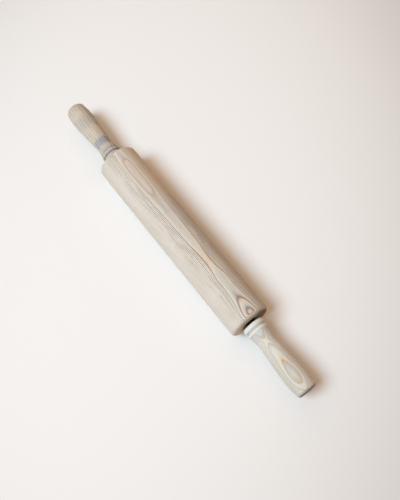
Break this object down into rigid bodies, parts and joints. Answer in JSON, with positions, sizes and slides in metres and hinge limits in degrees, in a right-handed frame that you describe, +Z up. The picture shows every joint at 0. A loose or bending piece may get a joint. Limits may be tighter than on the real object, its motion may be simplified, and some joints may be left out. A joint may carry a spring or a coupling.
{
  "type": "rolling pin",
  "caption": "Handled wooden rolling pin: a round barrel that turns freely on a steel rod with ball bearings, and turned bead-and-cove handles.",
  "frame": {"origin": "on the worktop, straight under the middle of the barrel, whose lowest line touches the worktop", "axes": "+X along the pin towards the right handle, +Z up; the turning axis is 25 mm above the origin"},
  "size_m": [0.454, 0.05, 0.05],
  "materials": {
    "barrel_wood": "open-grained ash with a pale grey wash, matt",
    "handle_wood": "turned ash with a pale grey wash, matt",
    "rod_steel": "ground bright steel",
    "zinc_steel": "zinc plated",
    "bearing_steel": "ground bearing steel",
    "polished_steel": "polished balls",
    "shield_steel": "pressed sheet steel",
    "cage_plastic": "natural nylon"
  },
  "bodies": {
    "barrel": {"barrel": "barrel_wood", "left_bearing_outer_race": "bearing_steel", "left_bearing_inner_shield": "shield_steel", "left_bearing_outer_shield": "shield_steel", "right_bearing_outer_race": "bearing_steel", "right_bearing_inner_shield": "shield_steel", "right_bearing_outer_shield": "shield_steel"},
    "axle": {"axle_rod": "rod_steel", "left_handle": "handle_wood", "left_threaded_insert": "zinc_steel", "left_spacer_washer": "zinc_steel", "left_bearing_inner_race": "bearing_steel", "right_handle": "handle_wood", "right_threaded_insert": "zinc_steel", "right_spacer_washer": "zinc_steel", "right_bearing_inner_race": "bearing_steel"},
    "left_ball_ring": {"left_bearing_balls": "polished_steel", "left_bearing_cage": "cage_plastic"},
    "right_ball_ring": {"right_bearing_balls": "polished_steel", "right_bearing_cage": "cage_plastic"}
  },
  "joints": [
    {"name": "axle_spin", "type": "hinge", "parent": "barrel", "child": "axle", "pos_m": [0, 0, 0.025], "axis": [1, 0, 0], "continuous": true},
    {"name": "left_ball_ring_spin", "type": "hinge", "parent": "barrel", "child": "left_ball_ring", "pos_m": [-0.1255, 0, 0.025], "axis": [1, 0, 0], "continuous": true},
    {"name": "right_ball_ring_spin", "type": "hinge", "parent": "barrel", "child": "right_ball_ring", "pos_m": [0.1255, 0, 0.025], "axis": [1, 0, 0], "continuous": true}
  ],
  "couplings": [
    {"joint": "left_ball_ring_spin", "follows": "axle_spin", "ratio": 0.3677},
    {"joint": "right_ball_ring_spin", "follows": "axle_spin", "ratio": 0.3677}
  ]
}
